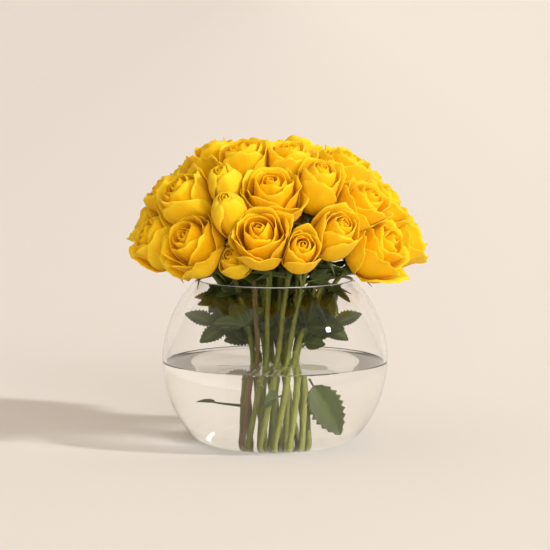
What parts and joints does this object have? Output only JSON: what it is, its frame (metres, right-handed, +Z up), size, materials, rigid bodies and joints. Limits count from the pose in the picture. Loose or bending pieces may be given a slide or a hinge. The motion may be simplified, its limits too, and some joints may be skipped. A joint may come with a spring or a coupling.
{
  "type": "roses in a vase",
  "caption": "Dome-shaped bunch of yellow roses with green stems and leaves, standing in a round clear glass bowl vase half filled with water.",
  "frame": {"origin": "centre of the bowl's flat foot, on the surface that it stands on", "axes": "+Z up along the bowl's axis; -Y is the front of the bunch, the side that the lower large roses face; +X to the right seen from the front"},
  "size_m": [0.2681, 0.2583, 0.2767],
  "materials": {
    "bowl_glass": "clear blown glass, smooth and thin, with a fire-polished rim",
    "water": "still clear water",
    "stem_green": "smooth fresh green rose stems, paler under water",
    "leaf_green": "dark green rose leaves with veins and a slight gloss",
    "petal_yellow": "soft satin petals, bright yellow, deeper orange between the petals"
  },
  "bodies": {
    "root": {"bowl": "bowl_glass", "water": "water", "stem_01": "stem_green", "stem_02": "stem_green", "stem_03": "stem_green", "stem_04": "stem_green", "stem_05": "stem_green", "stem_06": "stem_green", "stem_07": "stem_green", "stem_08": "stem_green", "stem_09": "stem_green", "stem_10": "stem_green", "stem_11": "stem_green", "stem_12": "stem_green", "stem_13": "stem_green", "stem_14": "stem_green", "stem_15": "stem_green", "stem_16": "stem_green", "stem_17": "stem_green", "stem_18": "stem_green", "stem_19": "stem_green", "leaf_bowl_left": "leaf_green", "leaf_bowl_right": "leaf_green", "leaf_water_right": "leaf_green", "leaf_water_front": "leaf_green", "leaf_water_left": "leaf_green", "bloom_01": "petal_yellow", "bloom_02": "petal_yellow", "bloom_03": "petal_yellow", "bloom_04": "petal_yellow", "bloom_05": "petal_yellow", "bloom_06": "petal_yellow", "bloom_07": "petal_yellow", "bloom_08": "petal_yellow", "bloom_09": "petal_yellow", "bloom_10": "petal_yellow", "bloom_11": "petal_yellow", "bloom_12": "petal_yellow", "bloom_13": "petal_yellow", "bloom_14": "petal_yellow", "bloom_15": "petal_yellow", "bloom_16": "petal_yellow", "bloom_17": "petal_yellow", "bloom_18": "petal_yellow", "bloom_19": "petal_yellow", "bloom_20": "petal_yellow", "bloom_21": "petal_yellow", "bloom_22": "petal_yellow", "bloom_23": "petal_yellow", "bloom_24": "petal_yellow", "bloom_25": "petal_yellow", "bloom_26": "petal_yellow", "bloom_27": "petal_yellow", "bloom_28": "petal_yellow", "bloom_29": "petal_yellow", "bloom_30": "petal_yellow", "bloom_31": "petal_yellow", "bloom_32": "petal_yellow", "bloom_33": "petal_yellow", "bloom_34": "petal_yellow"}
  },
  "joints": []
}
